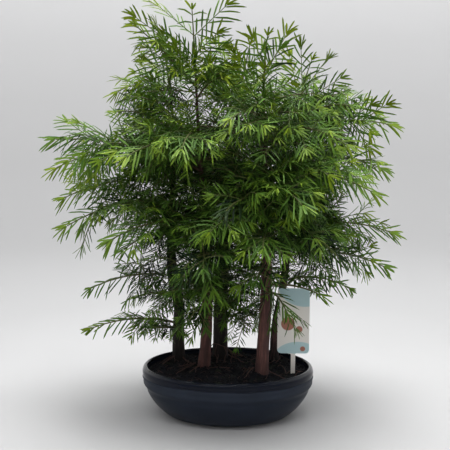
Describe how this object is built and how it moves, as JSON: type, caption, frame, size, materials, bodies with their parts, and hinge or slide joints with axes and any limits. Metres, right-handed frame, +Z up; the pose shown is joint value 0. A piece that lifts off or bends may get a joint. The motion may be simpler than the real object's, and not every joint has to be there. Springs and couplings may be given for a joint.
{
  "type": "bonsai forest in a tray",
  "caption": "Group of slender young conifers with feathery layered boughs, standing in soil in an oval glazed tray beside a plain plant label.",
  "frame": {"origin": "middle of the tray's flat underside", "axes": "+X along the tray's length to the right as seen from the front, +Y to the back, +Z up"},
  "size_m": [0.4661, 0.3269, 0.5196],
  "materials": {
    "navy_glaze": "dark navy glaze, glossy on the rim and satin on the body",
    "soil": "dark brown crumbly bonsai substrate, matte",
    "label_plastic": "cream printed plastic sheet, satin",
    "dark_bark": "dark grey-brown furrowed bark, matte",
    "red_bark": "red-brown peeling bark, matte",
    "needles": "soft green needles on brown twigs, slightly satin"
  },
  "bodies": {
    "root": {"tray": "navy_glaze", "soil": "soil", "plant_label": "label_plastic", "trunk_left_back": "dark_bark", "bough_left_back_1": "needles", "bough_left_back_2": "needles", "bough_left_back_3": "needles", "bough_left_back_4": "needles", "bough_left_back_5": "needles", "bough_left_back_6": "needles", "bough_left_back_7": "needles", "bough_left_back_8": "needles", "bough_left_back_9": "needles", "bough_left_back_10": "needles", "bough_left_back_11": "needles", "leader_left_back": "needles", "trunk_left_front": "red_bark", "bough_left_front_1": "needles", "bough_left_front_2": "needles", "bough_left_front_3": "needles", "bough_left_front_4": "needles", "bough_left_front_5": "needles", "bough_left_front_6": "needles", "bough_left_front_7": "needles", "bough_left_front_8": "needles", "bough_left_front_9": "needles", "leader_left_front": "needles", "trunk_middle_back": "dark_bark", "bough_middle_back_1": "needles", "bough_middle_back_2": "needles", "bough_middle_back_3": "needles", "bough_middle_back_4": "needles", "bough_middle_back_5": "needles", "bough_middle_back_6": "needles", "bough_middle_back_7": "needles", "bough_middle_back_8": "needles", "bough_middle_back_9": "needles", "leader_middle_back": "needles", "trunk_right_front": "red_bark", "bough_right_front_1": "needles", "bough_right_front_2": "needles", "bough_right_front_3": "needles", "bough_right_front_4": "needles", "bough_right_front_5": "needles", "bough_right_front_6": "needles", "bough_right_front_7": "needles", "bough_right_front_8": "needles", "bough_right_front_9": "needles", "leader_right_front": "needles", "trunk_right_back": "dark_bark", "bough_right_back_1": "needles", "bough_right_back_2": "needles", "bough_right_back_3": "needles", "bough_right_back_4": "needles", "bough_right_back_5": "needles", "bough_right_back_6": "needles", "bough_right_back_7": "needles", "bough_right_back_8": "needles", "bough_right_back_9": "needles", "leader_right_back": "needles"}
  },
  "joints": []
}
